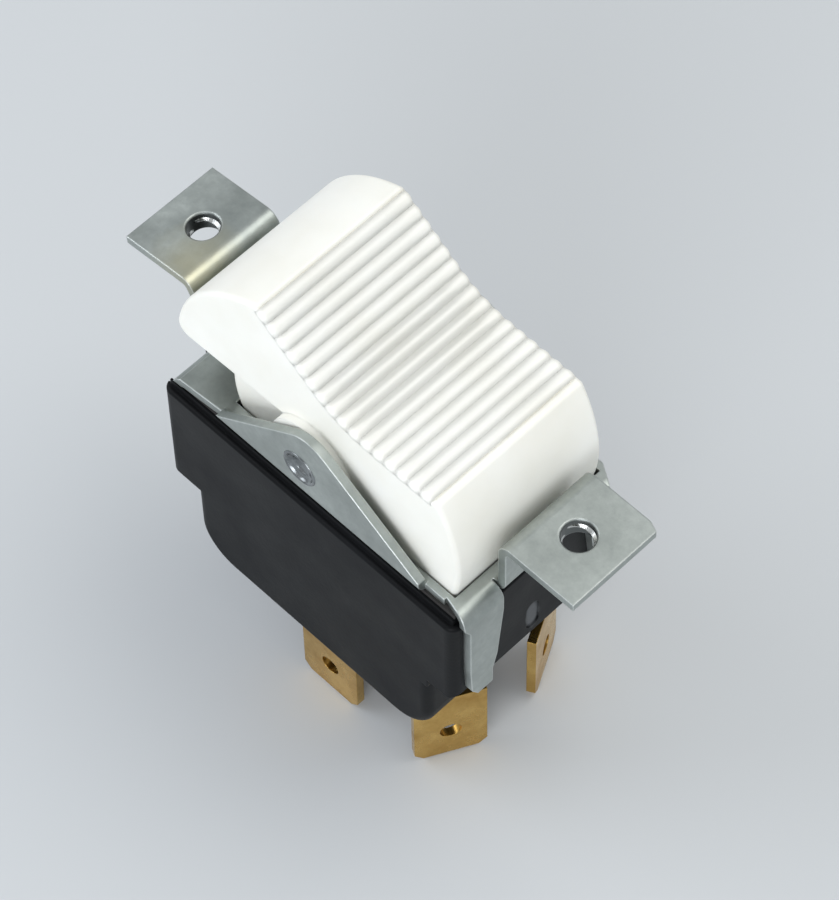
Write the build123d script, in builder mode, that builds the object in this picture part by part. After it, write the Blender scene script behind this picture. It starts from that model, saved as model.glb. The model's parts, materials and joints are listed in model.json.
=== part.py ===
from build123d import *
from math import asin, cos, degrees, radians, sin, sqrt, tan
import os

os.makedirs("parts", exist_ok=True)

# Rocker switch held by a sheet steel bracket with two tapped ears, all sizes in mm.
# X runs along the switch, +X is the end that is pressed down. Y runs across it.
# Z is up and z = 0 is the plane of the terminal tips, under the middle of the two ears.

# Bracket sheet and ears
sheet = 0.8                 # thickness of the bracket sheet
bend = 0.5                  # inside radius of every bend
ear_top = 38.4              # top face of the level ear above the terminal tips
ear_reach = 24.66           # outer end of each ear from the middle
ear_width = 9.5
ear_nick_x = 0.95           # shallow clip of the far corner of the level ear
ear_nick_y = 0.38
hole_reach = 20.71          # tapped hole from the middle
thread_minor_d = 2.8        # bore of the tapped hole, number 6 thread
collar_d = 4.5              # metal drawn down around the hole
collar_drop = 1.0
left_lean = 27.5            # the left riser is bent outward, degrees from upright
left_droop = 7.63           # and its ear hangs down, degrees

# Bracket deck, on top of the housing
deck_drop = 5.9             # deck top below the ear top
deck_right = 17.6           # outer face of the right riser and legs
deck_left = -15.1           # outer face of the left legs
left_riser_foot = -14.3     # where the left riser leaves the deck top
deck_half = 8.85            # half width of the left part of the deck
deck_flare = 9.2            # half width at its left end
strip_root = 8.6            # half width of the right strip at the opening
strip_half = 9.2            # and at the right end, near side
far_clip = (15.5, 8.5)      # the far end of the strip is clipped from here
far_clip_y = 7.2            # to here at the right end
opening_left = -9.5
opening_gap = 0.14          # play between the rocker end and the deck opening
rail_lip = 0.7              # flat lip of the side rail inside the pivot cheek
rail_in = 7.45              # the rail reaches in beside the hub
rail_in_end = 2.5

# Legs that clamp the housing
leg_inner = 4.9             # inner edge of a leg from the middle plane
leg_outer = 8.55
leg_tip_inner = 6.1
leg_tip_outer = 7.9
leg_taper_top = 8.9         # start of the taper below the deck top
leg_fold = 1.9              # how far a tip is folded under the shoulder
right_tip_outer = 7.1       # the tips of the right legs are cut slanting
right_tip_side = 8.4
right_tip_cut = 2.1         # start of the slanting cut above the tip

# Pivot cheeks and pivot
pivot_drop = 2.7            # pivot axis below the ear top
cheek_face = 9.55           # outer face of a cheek from the middle plane
cheek_left = -9.7
cheek_right = 12.9
cheek_peak_x = 0.99         # where the two sloped edges would meet
cheek_peak_up = 2.77        # above the ear top
cheek_slope_left = 38.7     # degrees
cheek_slope_right = 33.7
cheek_round = 3.0
dimple_d = 2.9              # mouth of the pivot dimple
pivot_d = 3.0               # pin that the dimple raises on the inside
pivot_in = 1.1              # how far it stands in from the cheek
pivot_play = 0.06           # radial play in the rocker

# Rocker
tilt = 19.3                 # rocker tilt in the pose shown, +X end down, degrees
throw = 12.3                # swing of the rocker until it meets the bent riser, degrees
rocker_r = 15.62            # end faces, about the pivot
rocker_half = 7.88          # half width
valley_up = 8.4             # bottom of the hollow top above the pivot
top_slope = 18.6            # slope of each half of the top, degrees
peak_x = 10.3
valley_round = 9.0
edge_round = 0.4
skirt_up = 2.38             # where the two lower edges would meet above the pivot
skirt_slope = 22.1
skirt_round = 1.3
rocker_wall = 1.5
hub_r = 9.7
hub_half = 7.2
boss_r = 4.1
boss_low_r = 2.85           # lower half of the boss, over the rail
cheek_gap = 0.15            # between the pivot boss and the cheek
rib_pitch = 1.28            # finger ribs across the top
rib_count = 17
rib_depth = 0.16
rib_width = 0.6             # half the width of the cutter at twice the depth

# Housing
housing_left = -16.0
housing_right = 16.8
housing_half = 9.7
housing_corner = 1.0
rim_drop = 7.9              # outer ledge below the ear top
shoulder_drop = 20.0        # underside of the end shoulders
right_shoulder_drop = 18.9  # the right shoulder is a little higher
shoulder_in = 3.0
housing_clip = (12.6, 7.6)  # far right corner is clipped from this x to this y
base_drop = 29.0            # underside of the base
base_round = 4.0
base_edge = 0.9
wall = 1.6
left_wall = 3.0
low_wall = 1.2
lip_set = 0.55              # inner lip set in from the outer face
floor = 3.0
barrier = 1.6               # wall between the two poles
barrier_drop = 13.2
insulator = 0.4
mark_w = 1.4                # oval gate mark on the right end
mark_h = 3.5
mark_depth = 0.12

# Contact works, one set on each side of the middle wall
pole = 4.6                  # middle of each pole
plunger_d = 3.4
plunger_reach = 19.5        # tip from the pivot
plunger_top = 5.0           # top end from the pivot
plunger_bore = 2.6
plunger_bore_end = 10.0
bore_play = 0.05
bore_top = 1.4
stem_d = 5.4                # guide around each plunger under the hub
stem_reach = 13.0
spring_d = 2.3
spring_wire = 0.34
spring_turns = 7
arm_t = 0.7
arm_w = 4.2
arm_reach = 8.2
arm_tilt = throw / 2        # the arm leans this much each way
dish_r = 6.4
dish_half = 2.9
tip_gap = 0.05
ridge_r = 0.5
ridge_play = 0.05
contact_x = 7.0
contact_d = 2.4
contact_h = 0.6
shank_d = 1.3
make_gap = 0.05

# Terminals
blade_w = 6.35
blade_t = 0.8
blade_hole_d = 1.9
blade_hole_up = 3.9         # hole above the tip
blade_corner = 1.0
neck_w = 2.6
slot_play = 0.05
line_x = 12.0               # middle of a line blade
line_y = 5.5
line_turn = 61.8            # blade angle from the X axis, degrees
line_neck = -1.5            # neck set along the blade toward the side wall
common_x = 0.8
common_y = 8.0
line_rivet = (9.3, 3.2)
common_rivet = (-3.4, 4.6)
foot_edge = 2.7             # inner edge of the feet from the middle plane
rivet_d = 1.5
rivet_head = 2.3
rivet_head_t = 0.45

# Worked out
deck_top = ear_top - deck_drop
deck_low = deck_top - sheet
pivot_z = ear_top - pivot_drop
rim = ear_top - rim_drop
lip_top = deck_low - insulator
shoulder = ear_top - shoulder_drop
right_shoulder = ear_top - right_shoulder_drop
base_low = ear_top - base_drop
floor_top = base_low + floor
cheek_inner = cheek_face - sheet
opening_half = cheek_inner - rail_lip
opening_right = sqrt(rocker_r**2 - (deck_top - pivot_z) ** 2) + opening_gap
swing = throw / 2
foot_top = floor_top + sheet
ridge_z = pivot_z - plunger_reach - tip_gap - arm_t - ridge_r - ridge_play
dish_low = ridge_r + ridge_play + arm_t
dish_rise = dish_r - sqrt(dish_r**2 - dish_half**2)
arm_top = dish_low + dish_rise
left_ear_z = ear_top - (ear_reach + left_riser_foot - deck_drop * tan(radians(left_lean))) * tan(radians(left_droop))
left_knee_x = left_riser_foot - deck_drop * tan(radians(left_lean))
left_hole_z = ear_top - (hole_reach + left_knee_x) * tan(radians(left_droop))
side_names = {-1: "near", 1: "far"}

# Planes that the moving pieces are drawn in, X along the piece and Y up
rocker_plane = Plane(
    origin=(0, 0, pivot_z),
    x_dir=(cos(radians(tilt)), 0, -sin(radians(tilt))),
    z_dir=(0, -1, 0),
)
plunger_dir = Vector(-sin(radians(swing)), 0, -cos(radians(swing)))
arm_plane = Plane(
    origin=(0, 0, ridge_z),
    x_dir=(cos(radians(arm_tilt)), 0, sin(radians(arm_tilt))),
    z_dir=(0, -1, 0),
)


# Bracket: one sheet, cut out and bent into deck, ears, legs and pivot cheeks
with BuildPart() as mounting_bracket:
    with BuildSketch(Plane.XY.offset(deck_low)):
        with Locations(((left_riser_foot + opening_left) / 2, 0)):
            Rectangle(opening_left - left_riser_foot, 2 * strip_half)
        with Locations(((opening_right + deck_right - sheet - bend) / 2, 0)):
            Rectangle(deck_right - sheet - bend - opening_right, 2 * strip_half)
        for side in (-1, 1):
            with Locations(((opening_left + rail_in_end) / 2, side * (rail_in + opening_half) / 2)):
                Rectangle(rail_in_end - opening_left, opening_half - rail_in)
        for side in (-1, 1):
            with Locations(((opening_left + opening_right) / 2, side * (opening_half + rail_lip / 2))):
                Rectangle(opening_right - opening_left, rail_lip)
    extrude(amount=sheet)

    # level ear and its riser
    with BuildSketch(Plane.XZ):
        with BuildLine():
            right_run = FilletPolyline(
                (ear_reach, ear_top),
                (deck_right - sheet, ear_top),
                (deck_right - sheet, deck_top),
                (opening_right, deck_top),
                radius=[bend + sheet, bend],
            )
            offset(right_run, amount=sheet, side=Side.LEFT)
        make_face()
    extrude(amount=ear_width / 2, both=True)

    # bent ear and its leaning riser
    with BuildSketch(Plane.XZ):
        with BuildLine():
            left_run = FilletPolyline(
                (opening_left - 1, deck_top),
                (left_riser_foot, deck_top),
                (left_knee_x, ear_top),
                (-ear_reach, left_ear_z),
                radius=[bend, bend + sheet],
            )
            offset(left_run, amount=sheet, side=Side.LEFT)
        make_face()
    extrude(amount=ear_width / 2, both=True)

    # clipped corner of the level ear
    with BuildSketch(Plane.XY.offset(ear_top - sheet)):
        with BuildLine():
            Polyline(
                (ear_reach - ear_nick_x, ear_width / 2),
                (ear_reach, ear_width / 2),
                (ear_reach, ear_width / 2 - ear_nick_y),
                close=True,
            )
        make_face()
    extrude(amount=sheet, mode=Mode.SUBTRACT)

    # metal drawn down around both holes, then the bores
    ear_planes = [
        Plane(origin=(hole_reach, 0, ear_top), z_dir=(0, 0, 1)),
        Plane(
            origin=(-hole_reach, 0, left_hole_z),
            x_dir=(cos(radians(left_droop)), 0, sin(radians(left_droop))),
            z_dir=(-sin(radians(left_droop)), 0, cos(radians(left_droop))),
        ),
    ]
    for plane in ear_planes:
        with BuildSketch(plane.offset(-sheet)):
            Circle(collar_d / 2)
        extrude(amount=-collar_drop, taper=8)
        with BuildSketch(plane):
            Circle(thread_minor_d / 2)
        extrude(amount=-2 * (sheet + collar_drop), mode=Mode.SUBTRACT)
        with BuildSketch(plane):
            Circle(thread_minor_d / 2 + 0.15)
        extrude(amount=-0.13, taper=45, mode=Mode.SUBTRACT)

# Legs are drawn as one strip for each end and trimmed to their tapered outline
leg_end_z = shoulder - sheet
right_end_z = right_shoulder - sheet
with BuildPart() as left_legs:
    with BuildSketch(Plane.XZ):
        with BuildLine():
            left_leg = FilletPolyline(
                (opening_left - 1, deck_top),
                (deck_left, deck_top),
                (deck_left, leg_end_z),
                (housing_left + shoulder_in - 0.1, leg_end_z),
                radius=[bend + sheet, bend + sheet],
            )
            offset(left_leg, amount=sheet, side=Side.LEFT)
        make_face()
    extrude(amount=strip_half, both=True)
    with BuildSketch(Plane.YZ) as leg_outline:
        with BuildLine():
            Polyline(
                (leg_inner, deck_top),
                (strip_half, deck_top),
                (strip_half, deck_low - 0.05),
                (deck_half + 0.02, lip_top),
                (deck_half + 0.02, deck_low - bend - 0.3),
                (leg_outer, deck_low - bend - 1.2),
                (leg_outer, deck_top - leg_taper_top),
                (leg_tip_outer, shoulder),
                (leg_tip_outer, leg_end_z - 1),
                (leg_tip_inner, leg_end_z - 1),
                (leg_tip_inner, shoulder),
                (leg_inner + 0.7, deck_top - leg_taper_top),
                (leg_inner, deck_low - 2),
                close=True,
            )
        make_face()
        mirror(about=Plane.YZ)
    extrude(amount=ear_reach, both=True, mode=Mode.INTERSECT)

with BuildPart() as right_legs:
    with BuildSketch(Plane.XZ):
        with BuildLine():
            right_leg = FilletPolyline(
                (opening_right, deck_top),
                (deck_right, deck_top),
                (deck_right, right_end_z),
                (deck_right - sheet - leg_fold, right_end_z),
                radius=[bend + sheet, bend + sheet],
            )
            offset(right_leg, amount=sheet, side=Side.RIGHT)
        make_face()
    extrude(amount=strip_half, both=True)
    with BuildSketch(Plane.YZ):
        with BuildLine():
            Polyline(
                (leg_inner, deck_top),
                (strip_half, deck_top),
                (strip_half, deck_low - bend),
                (leg_outer, deck_low - bend - 1.2),
                (leg_outer, deck_top - leg_taper_top),
                (right_tip_side, right_end_z + right_tip_cut),
                (right_tip_outer, right_end_z),
                (right_tip_outer, right_end_z - 1),
                (leg_tip_inner, right_end_z - 1),
                (leg_tip_inner, right_end_z + 3),
                (leg_inner + 0.7, deck_top - leg_taper_top),
                (leg_inner, deck_low - 2),
                close=True,
            )
        make_face()
        mirror(about=Plane.YZ)
    extrude(amount=ear_reach, both=True, mode=Mode.INTERSECT)

# Cheeks: bent up from the side rails, cut to a rounded triangle, dimpled for the pivot
with BuildPart() as cheeks:
    with BuildSketch(Plane.YZ.offset(cheek_left)):
        for side in (-1, 1):
            with BuildLine():
                cheek_run = FilletPolyline(
                    (side * opening_half, deck_top),
                    (side * cheek_inner, deck_top),
                    (side * cheek_inner, ear_top + cheek_peak_up),
                    radius=bend,
                )
                offset(cheek_run, amount=sheet, side=Side.LEFT if side < 0 else Side.RIGHT)
            make_face()
    extrude(amount=cheek_right - cheek_left)
    peak_z = ear_top + cheek_peak_up
    with BuildSketch(Plane.XZ) as cheek_outline:
        with BuildLine():
            Polyline(
                (cheek_left, deck_low),
                (cheek_left, peak_z - (cheek_peak_x - cheek_left) * tan(radians(cheek_slope_left))),
                (cheek_peak_x, peak_z),
                (cheek_right, peak_z - (cheek_right - cheek_peak_x) * tan(radians(cheek_slope_right))),
                (cheek_right, deck_low),
                close=True,
            )
        make_face()
        fillet(cheek_outline.vertices().sort_by(Axis.Y)[-1], radius=cheek_round)
    extrude(amount=cheek_face + 1, both=True, mode=Mode.INTERSECT)
    for side in (-1, 1):
        dimple_plane = Plane(origin=(0, side * cheek_inner, pivot_z), x_dir=(1, 0, 0), z_dir=(0, -side, 0))
        with BuildSketch(dimple_plane):
            Circle(pivot_d / 2)
        extrude(amount=pivot_in)
        with BuildSketch(dimple_plane.offset(-sheet)):
            Circle(dimple_d / 2)
        extrude(amount=sheet + 0.45, taper=28, mode=Mode.SUBTRACT)

with BuildPart() as bracket_whole:
    add(mounting_bracket.part)
    add(left_legs.part)
    add(right_legs.part)
    # the left deck widens a little toward its end, the right strip toward the near leg,
    # and the far end of the strip is clipped
    with BuildSketch(Plane.XY.offset(base_low)):
        for side in (-1, 1):
            with BuildLine():
                Polyline(
                    (deck_left - 1, side * deck_flare),
                    (deck_left, side * deck_flare),
                    (opening_left, side * deck_half),
                    (opening_left, side * (strip_half + 1)),
                    (deck_left - 1, side * (strip_half + 1)),
                    close=True,
                )
            make_face()
        with BuildLine():
            Polyline(
                (opening_right - 0.5, -strip_root + 0.13),
                (deck_right + 0.1, -strip_half),
                (deck_right + 0.1, -strip_half - 1),
                (opening_right - 0.5, -strip_half - 1),
                close=True,
            )
        make_face()
        with BuildLine():
            Polyline(
                (opening_right - 0.5, far_clip[1] + 0.35),
                far_clip,
                (deck_right, far_clip_y),
                (deck_right + 0.1, strip_half + 1),
                (opening_right - 0.5, strip_half + 1),
                close=True,
            )
        make_face()
    extrude(amount=deck_top + 1 - base_low, mode=Mode.SUBTRACT)
    add(cheeks.part)
bracket_whole.part.label = "mounting_bracket"
export_step(bracket_whole.part, "parts/mounting_bracket.step")


# Housing: deep black cup with end shoulders, open at the top under the bracket
low_left = housing_left + shoulder_in
low_right = housing_right - shoulder_in
with BuildPart() as housing:
    with BuildSketch(Plane.XY.offset(shoulder)):
        with Locations(((housing_left + housing_right) / 2, 0)):
            RectangleRounded(housing_right - housing_left, 2 * housing_half, housing_corner)
    extrude(amount=rim - shoulder)
    fillet(housing.faces().sort_by(Axis.Z)[-1].edges(), radius=0.35)
    with BuildSketch(Plane.XZ) as low_side:
        with Locations(((low_left + low_right) / 2, (base_low + shoulder + 1) / 2)):
            Rectangle(low_right - low_left, shoulder + 1 - base_low)
        fillet(low_side.vertices().group_by(Axis.Y)[0], radius=base_round)
    extrude(amount=housing_half, both=True)
    fillet(housing.faces().sort_by(Axis.Z)[0].edges().filter_by(Axis.X), radius=base_edge)
    # inner lip that carries the insulator and the bracket
    with BuildSketch(Plane.XY.offset(rim)):
        with Locations(((housing_left + housing_right) / 2, 0)):
            Rectangle(housing_right - housing_left - 2 * lip_set, 2 * (housing_half - lip_set))
    extrude(amount=lip_top - rim)
    # higher right shoulder and clipped far right corner
    with BuildSketch(Plane.XY.offset(shoulder)):
        with Locations(((low_right + housing_right) / 2, 0)):
            Rectangle(housing_right - low_right, 2 * housing_half)
    extrude(amount=right_shoulder - shoulder, mode=Mode.SUBTRACT)
    with BuildSketch(Plane.XY.offset(base_low)):
        with BuildLine():
            Polyline(
                (housing_clip[0], housing_half),
                (housing_right, housing_clip[1]),
                (housing_right, housing_half),
                close=True,
            )
        make_face()
    extrude(amount=lip_top - base_low, mode=Mode.SUBTRACT)
    # upper and lower hollow
    with BuildSketch(Plane.XY.offset(lip_top)):
        upper_left = housing_left + left_wall
        upper_right = housing_right - wall
        with Locations(((upper_left + upper_right) / 2, 0)):
            RectangleRounded(upper_right - upper_left, 2 * (housing_half - wall), 0.6)
    extrude(amount=-(lip_top - right_shoulder - wall), mode=Mode.SUBTRACT)
    with BuildSketch(Plane.XY.offset(floor_top)):
        with Locations(((low_left + low_right) / 2, 0)):
            RectangleRounded(low_right - low_left - 2 * low_wall, 2 * (housing_half - low_wall), 0.6)
    extrude(amount=right_shoulder + wall + 0.2 - floor_top, mode=Mode.SUBTRACT)
    # wall between the poles and a stop post under the free end of each contact arm
    with BuildSketch(Plane.XY.offset(floor_top)):
        with Locations(((low_left + low_right) / 2, 0)):
            Rectangle(low_right - low_left - low_wall, barrier)
    extrude(amount=ear_top - barrier_drop - floor_top)
    post_x = -(contact_x + 0.6)
    post_z = ridge_z + (arm_top - arm_t) * cos(radians(arm_tilt)) - (contact_x + 1.1) * sin(radians(arm_tilt)) - 0.08
    with BuildSketch(Plane.XY.offset(floor_top)):
        for side in (-1, 1):
            with Locations((post_x, side * pole)):
                RectangleRounded(1.2, arm_w - 1, 0.3)
    extrude(amount=post_z - floor_top)
    # grooves for the left legs
    with BuildSketch(Plane.XY.offset(shoulder)):
        for side in (-1, 1):
            with Locations(((housing_left + deck_left + sheet) / 2, side * (leg_inner + deck_half) / 2)):
                Rectangle(deck_left + sheet - housing_left, deck_half - leg_inner + 0.2)
    extrude(amount=lip_top - shoulder, mode=Mode.SUBTRACT)
    # relief for the bends of the legs
    groove_x = deck_left + sheet
    relief = bend + 0.1
    for side in (-1, 1):
        with BuildSketch(Plane.XZ.offset(-side * (leg_inner + deck_half) / 2)):
            with BuildLine():
                Polyline(
                    (groove_x, shoulder), (groove_x + relief, shoulder), (groove_x, shoulder + relief), close=True
                )
            make_face()
            with BuildLine():
                Polyline(
                    (groove_x, lip_top), (groove_x + relief, lip_top), (groove_x, lip_top - relief), close=True
                )
            make_face()
        extrude(amount=(deck_half - leg_inner + 0.2) / 2, both=True, mode=Mode.SUBTRACT)
    with BuildSketch(Plane.XZ):
        with BuildLine():
            Polyline(
                (housing_right, right_shoulder),
                (housing_right - relief, right_shoulder),
                (housing_right, right_shoulder + relief),
                close=True,
            )
        make_face()
    extrude(amount=housing_half, both=True, mode=Mode.SUBTRACT)
    # slots for the terminals and holes for their rivets
    with BuildSketch(Plane.XY.offset(base_low)) as floor_slots:
        for side in (-1, 1):
            turn = radians(line_turn)
            with Locations(
                Location(
                    (line_x + line_neck * cos(turn), side * (line_y - line_neck * sin(turn)), 0),
                    (0, 0, -side * line_turn),
                )
            ):
                Rectangle(neck_w + 2 * slot_play, blade_t + 2 * slot_play)
            with Locations((common_x, side * common_y)):
                Rectangle(neck_w + 2 * slot_play, blade_t + 2 * slot_play)
            with Locations(
                (common_rivet[0], side * common_rivet[1]), (line_rivet[0], side * line_rivet[1])
            ):
                Circle(rivet_d / 2)
    extrude(amount=floor, mode=Mode.SUBTRACT)
    # oval gate mark on the right end
    with BuildSketch(Plane.YZ.offset(housing_right)):
        with Locations((-0.8, ear_top - 15.8)):
            SlotOverall(mark_h, mark_w, rotation=90)
    extrude(amount=-mark_depth, mode=Mode.SUBTRACT)
housing.part.label = "housing"
export_step(housing.part, "parts/housing.step")


# Insulator: thin fibre sheet between bracket and housing
with BuildPart() as insulator_sheet:
    with BuildSketch(Plane.XY.offset(lip_top)):
        sheet_left = deck_left + sheet + bend + 0.05
        with Locations(((sheet_left + housing_right - lip_set) / 2, 0)):
            Rectangle(housing_right - lip_set - sheet_left, 2 * (housing_half - lip_set - 0.2))
        with Locations(((opening_left - 0.1 + housing_right - wall) / 2, 0)):
            Rectangle(
                housing_right - wall - opening_left + 0.1,
                2 * opening_half,
                mode=Mode.SUBTRACT,
            )
        with BuildLine():
            clip_run = housing_right - housing_clip[0]
            clip_rise = housing_half - housing_clip[1]
            Polyline(
                (housing_clip[0] - 1, housing_half - 0.2 + clip_rise / clip_run),
                (housing_right, housing_clip[1] - 0.2),
                (housing_right, housing_half + 1),
                (housing_clip[0] - 1, housing_half + 1),
                close=True,
            )
        make_face(mode=Mode.SUBTRACT)
    extrude(amount=insulator)
insulator_sheet.part.label = "insulator_sheet"
export_step(insulator_sheet.part, "parts/insulator_sheet.step")


# Rocker: moulded cap with a ribbed hollow top, open pockets below and a solid hub
top_tan = tan(radians(top_slope))
skirt_tan = tan(radians(skirt_slope))
far_x = rocker_r + 1
with BuildPart() as rocker:
    with BuildSketch(rocker_plane) as rocker_side:
        Circle(rocker_r)
        with BuildLine():
            Polyline(
                (-far_x, -far_x),
                (-far_x, skirt_up - far_x * skirt_tan),
                (0, skirt_up),
                (far_x, skirt_up - far_x * skirt_tan),
                (far_x, -far_x),
                close=True,
            )
        make_face(mode=Mode.SUBTRACT)
        with BuildLine():
            Polyline(
                (-far_x, far_x),
                (-far_x, valley_up + far_x * top_tan),
                (0, valley_up),
                (far_x, valley_up + far_x * top_tan),
                (far_x, far_x),
                close=True,
            )
        make_face(mode=Mode.SUBTRACT)
        corners = rocker_side.vertices().sort_by(Axis.Y)
        fillet(corners[0:2], radius=skirt_round)
        corners = rocker_side.vertices().sort_by(Axis.Y)
        fillet(corners[-2:], radius=edge_round)
        valley = rocker_side.vertices().sort_by(lambda v: abs(v.X) + abs(v.Y - valley_up))[0]
        fillet(valley, radius=valley_round)
    extrude(amount=rocker_half, both=True)
    # rounded side edges of the top and the ends, none along the skirt
    side_edges = rocker.edges().filter_by(
        lambda e: abs(abs(e.center().Y) - rocker_half) < 0.01
        and (e.center() - rocker_plane.origin).dot(rocker_plane.y_dir) > 1.6
    )
    fillet(side_edges, radius=edge_round)
    # ribs across the top
    arc_low = valley_up + valley_round / cos(radians(top_slope))
    with BuildSketch(rocker_plane):
        for i in range(rib_count):
            rib_x = (i - (rib_count - 1) / 2) * rib_pitch * cos(radians(top_slope)) - 0.2
            if abs(rib_x) < valley_round * sin(radians(top_slope)):
                rib_y = arc_low - sqrt(valley_round**2 - rib_x**2)
            else:
                rib_y = valley_up + abs(rib_x) * top_tan
            rib_turn = 0 if abs(rib_x) < valley_round * sin(radians(top_slope)) else 1
            lean = top_slope * rib_turn * (1 if rib_x > 0 else -1)
            if not rib_turn:
                lean = degrees(asin(rib_x / valley_round))
            with Locations(Location((rib_x, rib_y, 0), (0, 0, lean))):
                Polygon((0, -rib_depth), (rib_width, rib_depth), (-rib_width, rib_depth), align=None)
    extrude(amount=rocker_half, both=True, mode=Mode.SUBTRACT)
    # pockets from below, in both ends
    with BuildSketch(rocker_plane):
        Circle(rocker_r - rocker_wall)
        Rectangle(2 * (hub_r + 0.6), 2 * rocker_r, mode=Mode.SUBTRACT)
        with BuildLine():
            pocket_top = valley_up - rocker_wall / cos(radians(top_slope))
            Polyline(
                (-far_x, far_x),
                (-far_x, pocket_top + far_x * top_tan),
                (0, pocket_top),
                (far_x, pocket_top + far_x * top_tan),
                (far_x, far_x),
                close=True,
            )
        make_face(mode=Mode.SUBTRACT)
    extrude(amount=rocker_half - rocker_wall, both=True, mode=Mode.SUBTRACT)
    # hub below the skirt and the pivot bosses
    with BuildSketch(rocker_plane):
        Circle(hub_r)
        with Locations((0, hub_r / 2 + 1.5)):
            Rectangle(2 * hub_r, hub_r, mode=Mode.SUBTRACT)
    extrude(amount=hub_half, both=True)
    with BuildSketch(rocker_plane):
        Circle(boss_r)
        with Locations((0, -0.5 - boss_r / 2)):
            Rectangle(2 * boss_r, boss_r, mode=Mode.SUBTRACT)
        Circle(boss_low_r)
    extrude(amount=cheek_inner - cheek_gap, both=True)
    # guide stems and bores for the plungers
    for side in (-1, 1):
        bore_plane = Plane(origin=(0, side * pole, pivot_z), x_dir=(0, 1, 0), z_dir=plunger_dir)
        with BuildSketch(bore_plane.offset(hub_r - 1.5)):
            Circle(stem_d / 2)
        extrude(amount=stem_reach - hub_r + 1.5)
        with BuildSketch(bore_plane.offset(bore_top)):
            Circle(plunger_d / 2 + bore_play)
        extrude(amount=rocker_r, mode=Mode.SUBTRACT)
        # pivot hole
        hole_plane = Plane(origin=(0, side * cheek_inner, pivot_z), x_dir=(1, 0, 0), z_dir=(0, -side, 0))
        with BuildSketch(hole_plane):
            Circle(pivot_d / 2 + pivot_play)
        extrude(amount=pivot_in + 0.15, mode=Mode.SUBTRACT)
rocker.part.label = "rocker"
export_step(rocker.part, "parts/rocker.step")


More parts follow.
